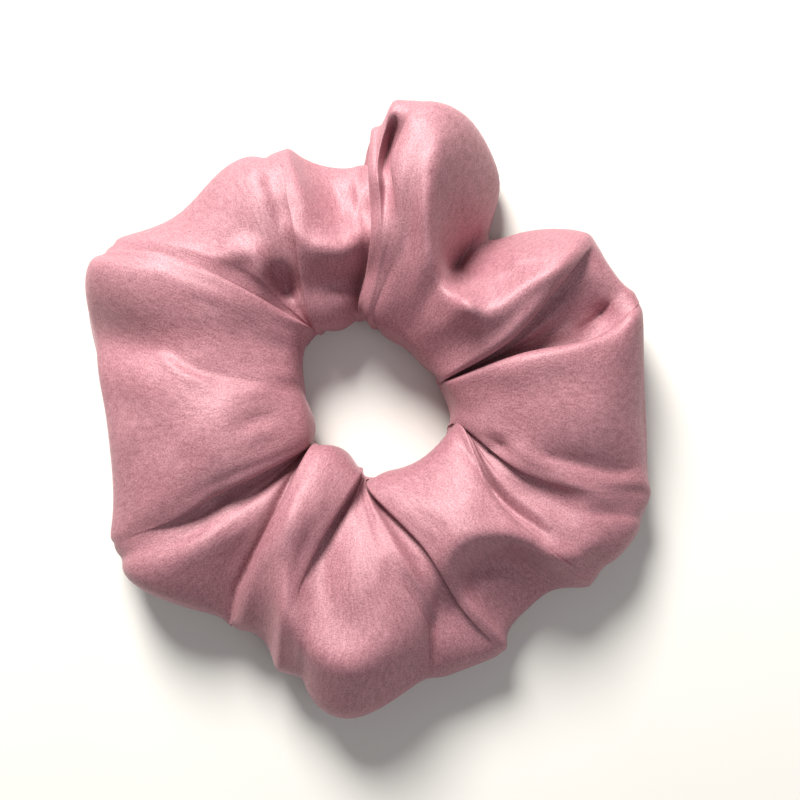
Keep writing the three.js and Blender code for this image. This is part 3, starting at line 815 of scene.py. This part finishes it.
def satin_above(angles):
    """How high the band's top edge may be at each angle, under the satin's own height there."""
    top = np.full(len(angles), ELASTIC_LEVEL + ELASTIC_WIDTH / 2)
    points = cloth.reshape(-1, 3)
    radius = np.hypot(points[:, 0], points[:, 1])
    near = (np.abs(radius - ELASTIC_RADIUS) < NEAR_BAND) & (points[:, 2] > OVER_BAND)
    turn = np.degrees(np.arctan2(points[near, 1], points[near, 0]))
    height = points[near, 2]
    for i, angle in enumerate(angles):
        apart = np.abs((turn - angle + 180) % 360 - 180)
        close = apart < LOOK_ANGLE
        if close.any():
            top[i] = min(top[i], height[close].min() - ELASTIC_CLEARANCE)
    return np.maximum(top, ELASTIC_LEAST_TOP)


def elastic_line(count=721):
    """Angles from one end of the band to the other, with the radius and level of its middle."""
    angles = np.linspace(-LAP_HALF_ANGLE, 360 + LAP_HALF_ANGLE, count)
    top = satin_above(angles)
    kernel = np.hanning(LEVEL_SMOOTHING)
    padded = np.pad(top, LEVEL_SMOOTHING // 2, mode="edge")
    smooth = np.convolve(padded, kernel / kernel.sum(), mode="valid")
    level = np.minimum(smooth, top + LEVEL_SLACK) - ELASTIC_WIDTH / 2
    first_end = smooth_step((LAP_HALF_ANGLE + LAP_EASE - np.abs(angles)) / LAP_EASE)
    last_end = smooth_step((LAP_HALF_ANGLE + LAP_EASE - np.abs(angles - 360)) / LAP_EASE)
    return angles, ELASTIC_RADIUS + LAP_SHIFT * (last_end - first_end), level


def band_section():
    """The band's cross-section as offsets outward and upward, and which face each point is on."""
    points = []
    half_width, half_thickness = ELASTIC_WIDTH / 2, ELASTIC_THICKNESS / 2
    for side in (1, -1):
        for v in np.linspace(-BAND_EDGE, BAND_EDGE, BAND_POINTS):
            bow = half_thickness * math.sqrt(max(0.0, 1 - abs(v) ** 8 * 0.8))
            points.append((side * bow, side * v * half_width, side))
        points.append((0, side * half_width, 0))
    return np.array(points)


def elastic_mesh(name, sector, line):
    angles, radii, levels = line
    low = sector * SECTOR_ANGLE - (LAP_HALF_ANGLE if sector == 0 else 0)
    high = (sector + 1) * SECTOR_ANGLE + (LAP_HALF_ANGLE if sector == SECTORS - 1 else 0)
    here = np.linspace(low, high, 2 + round((high - low) * RINGS_PER_DEGREE))
    section = band_section()
    rings = []
    for angle in here:
        radius, level = np.interp(angle, angles, radii), np.interp(angle, angles, levels)
        run = math.radians(angle) * ELASTIC_RADIUS
        slant = BRAID_SLANT * section[:, 1] * section[:, 2]
        rib = BRAID_DEPTH * np.cos(2 * math.pi * (run + slant) / BRAID_SPACING) * section[:, 2]
        reach = radius + section[:, 0] + rib
        turn = math.radians(angle)
        x, y = reach * math.cos(turn), reach * math.sin(turn)
        rings.append(np.stack([x, y, level + section[:, 1]], 1))
    grid = to_metres(np.array(rings))
    n, m = grid.shape[:2]
    faces = []
    for i in range(n - 1):
        for j in range(m):
            k = (j + 1) % m
            faces.append((i * m + j, (i + 1) * m + j, (i + 1) * m + k, i * m + k))
    if sector == 0:
        faces.append(tuple(range(m)))
    if sector == SECTORS - 1:
        faces.append(tuple((n - 1) * m + j for j in reversed(range(m))))
    mesh = bpy.data.meshes.new(name)
    mesh.from_pydata(grid.reshape(-1, 3).tolist(), [], faces)
    mesh.shade_smooth()
    return mesh


YARN_PER_METRE = 3000.0  # the braid's yarn is about 0.3 mm thick


def elastic_material():
    # Polyester yarn braided round rubber cores: matt white, with fine specks of yarn on its ribs.
    material, shader, add, links = new_material("braided_polyester_elastic")
    coordinates = add("TexCoord")
    place = {"Vector": coordinates.outputs["Object"]}
    yarn = add("TexNoise", place, scale=YARN_PER_METRE, detail=2.0)
    shade = add("Mix", {"Factor": yarn.outputs["Fac"]}, data_type="RGBA")
    shade.inputs["A"].default_value = linear("#d9d5cf")
    shade.inputs["B"].default_value = linear("#f4f2ee")
    links.new(shade.outputs["Result"], shader.inputs["Base Color"])
    bump = add("Bump", {"Height": yarn.outputs["Fac"]}, strength=0.4, distance=0.0001)
    links.new(bump.outputs["Normal"], shader.inputs["Normal"])
    shader.inputs["Roughness"].default_value = 0.75
    return material


elastic_yarn = elastic_material()
band_line = elastic_line()
for sector in range(SECTORS):
    name = f"elastic_band_{sector + 1:02d}"
    piece = bpy.data.objects.new(name, elastic_mesh(name, sector, band_line))
    bpy.context.collection.objects.link(piece)
    piece.data.materials.append(elastic_yarn)
    stretch_between(piece)
    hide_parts(*nodes_of("elastic", sector))

# ---- The seams' threads ----
# Spun polyester sewing thread in the satin's colour. The long seam's stitches lie along the
# underside, the last ones sewn by hand, and the closing seam's go round the tube's lower half.

THREAD_RADIUS = 0.17
THREAD_SIDES = 8
STITCH_LENGTH = 2.4
STITCH_GAP = 1.0
STITCH_STEPS = 8  # rings of points along one stitch, less one
STITCH_STAND = 0.15  # the thread's middle above the cloth, half way along a stitch
STITCH_DIP = 0.42  # how much lower it is at the ends
STITCH_TAPER = 0.35  # how much thinner it is pulled there


def places_along(points, spacing):
    """Places every spacing mm along a line, as indices into it with fractions."""
    steps = np.linalg.norm(np.diff(points, axis=0), axis=1)
    along = np.concatenate([[0], np.cumsum(steps)])
    return np.interp(np.arange(0, along[-1], spacing), along, np.arange(len(points)))


def stitch(path, normals):
    """One stitch as rings of points: it rises out of the cloth, runs along it and goes back in."""
    count = len(path)
    rings = []
    for i in range(count):
        part = i / (count - 1)
        to_end = abs(2 * part - 1)
        lift = STITCH_STAND - STITCH_DIP * to_end**4
        ahead = path[min(i + 1, count - 1)] - path[max(i - 1, 0)]
        ahead = ahead / np.linalg.norm(ahead)
        up = normals[i] / np.linalg.norm(normals[i])
        side = np.cross(ahead, up)
        turns = np.arange(THREAD_SIDES) * 2 * math.pi / THREAD_SIDES
        ring = np.cos(turns)[:, None] * side + np.sin(turns)[:, None] * up
        radius = THREAD_RADIUS * (1 - STITCH_TAPER * to_end**6)
        rings.append(path[i] + lift * up + radius * ring)
    return rings


def stitches_mesh(name, all_stitches):
    points, faces = [], []
    m = THREAD_SIDES
    for rings in all_stitches:
        base = len(points)
        for ring in rings:
            points.extend(to_metres(ring).tolist())
        for i in range(len(rings) - 1):
            for j in range(m):
                k = (j + 1) % m
                a = base + i * m
                faces.append((a + j, a + k, a + m + k, a + m + j))
        faces.append(tuple(base + j for j in reversed(range(m))))
        faces.append(tuple(base + (len(rings) - 1) * m + j for j in range(m)))
    mesh = bpy.data.meshes.new(name)
    mesh.from_pydata(points, [], faces)
    mesh.shade_smooth()
    return mesh


def stitches_along(line, normals):
    """All the stitches along a line on the cloth."""
    fine = places_along(line, STITCH_LENGTH / STITCH_STEPS)
    index = np.arange(len(line))
    path = np.stack([np.interp(fine, index, line[:, c]) for c in range(3)], 1)
    up = np.stack([np.interp(fine, index, normals[:, c]) for c in range(3)], 1)
    step = round((STITCH_LENGTH + STITCH_GAP) / (STITCH_LENGTH / STITCH_STEPS))
    count = STITCH_STEPS + 1
    starts = range(0, len(path) - count, step)
    return [stitch(path[i : i + count], up[i : i + count]) for i in starts]


PLY_WAVES = 900.0  # which makes a twist every 0.35 mm, as the two plies turn round each other


def thread_material():
    # Spun polyester, two plies twisted: a little darker than the satin and more matt, with a fine
    # twist that just shows close by.
    material, shader, add, links = new_material("spun_polyester_thread")
    coordinates = add("TexCoord")
    place = {"Vector": coordinates.outputs["Object"]}
    plies = add("TexWave", place, scale=PLY_WAVES, distortion=2.0)
    shade = add("Mix", {"Factor": plies.outputs["Fac"]}, data_type="RGBA")
    shade.inputs["A"].default_value = linear("#9c5f68")
    shade.inputs["B"].default_value = linear("#c98d96")
    links.new(shade.outputs["Result"], shader.inputs["Base Color"])
    bump = add("Bump", {"Height": plies.outputs["Fac"]}, strength=0.4, distance=0.0001)
    links.new(bump.outputs["Normal"], shader.inputs["Normal"])
    shader.inputs["Roughness"].default_value = 0.6
    return material


thread = thread_material()
round_ring = np.arange(AROUND + 1) % AROUND
long_seam = stitches_along(
    cloth[round_ring, LONG_SEAM_POINT], cloth_out[round_ring, LONG_SEAM_POINT]
)
middles = to_metres(np.array([np.mean(rings[len(rings) // 2], axis=0) for rings in long_seam]))
owners = (angles_of(middles) // SECTOR_ANGLE).astype(int)
for sector in range(SECTORS):
    name = f"long_seam_stitches_{sector + 1:02d}"
    here = [rings for rings, owner in zip(long_seam, owners) if owner == sector]
    piece = bpy.data.objects.new(name, stitches_mesh(name, here))
    bpy.context.collection.objects.link(piece)
    piece.data.materials.append(thread)
    stretch_between(piece)
    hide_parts(*nodes_of("long_seam_thread", sector))

# The closing seam's stitches, from the outer edge under the tube to the hole.
OUTER_EDGE_POINT = round(ACROSS * 6.2 / SECTION_POINTS)
lower_half = np.arange(OUTER_EDGE_POINT, ACROSS + 2) % ACROSS
closing_seam = stitches_along(
    cloth[CLOSING_SEAM_POINT, lower_half], cloth_out[CLOSING_SEAM_POINT, lower_half]
)
name = "closing_seam_stitches"
closing = bpy.data.objects.new(name, stitches_mesh(name, closing_seam))
bpy.context.collection.objects.link(closing)
closing.data.materials.append(thread)
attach(closing, "seam_start")
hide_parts("closing_seam_thread")

# The zigzag that joins the elastic's ends keeps its CAD shape.
zigzag = frame["nodes"]["elastic_join_thread"]
zigzag.data.materials.clear()
zigzag.data.materials.append(thread)
